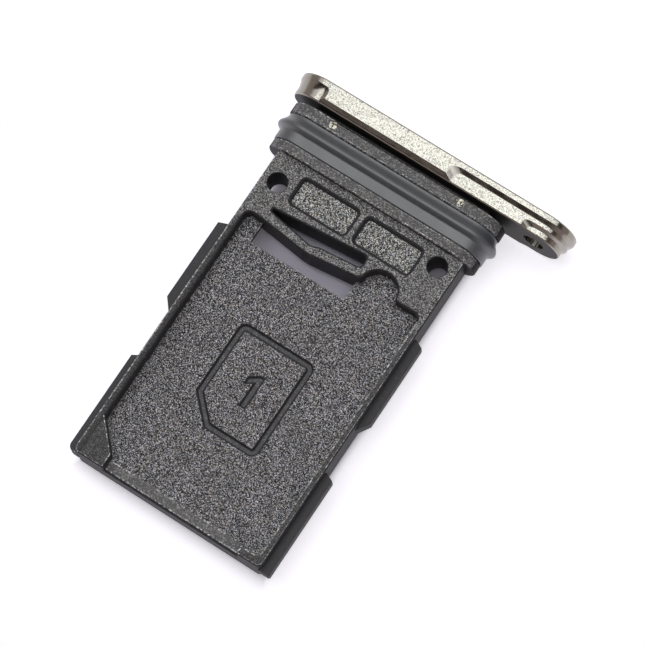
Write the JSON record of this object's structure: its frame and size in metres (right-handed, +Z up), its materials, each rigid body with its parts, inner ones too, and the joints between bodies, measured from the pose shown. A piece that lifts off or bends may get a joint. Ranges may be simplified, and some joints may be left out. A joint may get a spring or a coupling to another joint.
{
  "type": "sim card tray",
  "caption": "Double-sided sim card tray: plastic card carrier with guide rails, spring arm and finger notch, a rubber seal round its neck and a round-ended metal end cap with a pin hole.",
  "frame": {"origin": "bottom centre of the whole tray's box, level with the cap's lower flat", "axes": "+Y is the way the tray is pulled out, from the open end to the end cap; +X runs along the cap to its longer end with the pin hole; +Z is up, out of the upper card pocket"},
  "size_m": [0.0144, 0.0198, 0.003],
  "materials": {
    "carrier_plastic": "spark-eroded grain on the floors, smooth walls",
    "cap_metal": "bead-blasted flats, polished ends and slopes",
    "seal_rubber": "smooth matte"
  },
  "bodies": {
    "root": {"tray_carrier": "carrier_plastic", "end_cap": "cap_metal", "seal_ring": "seal_rubber"}
  },
  "joints": []
}
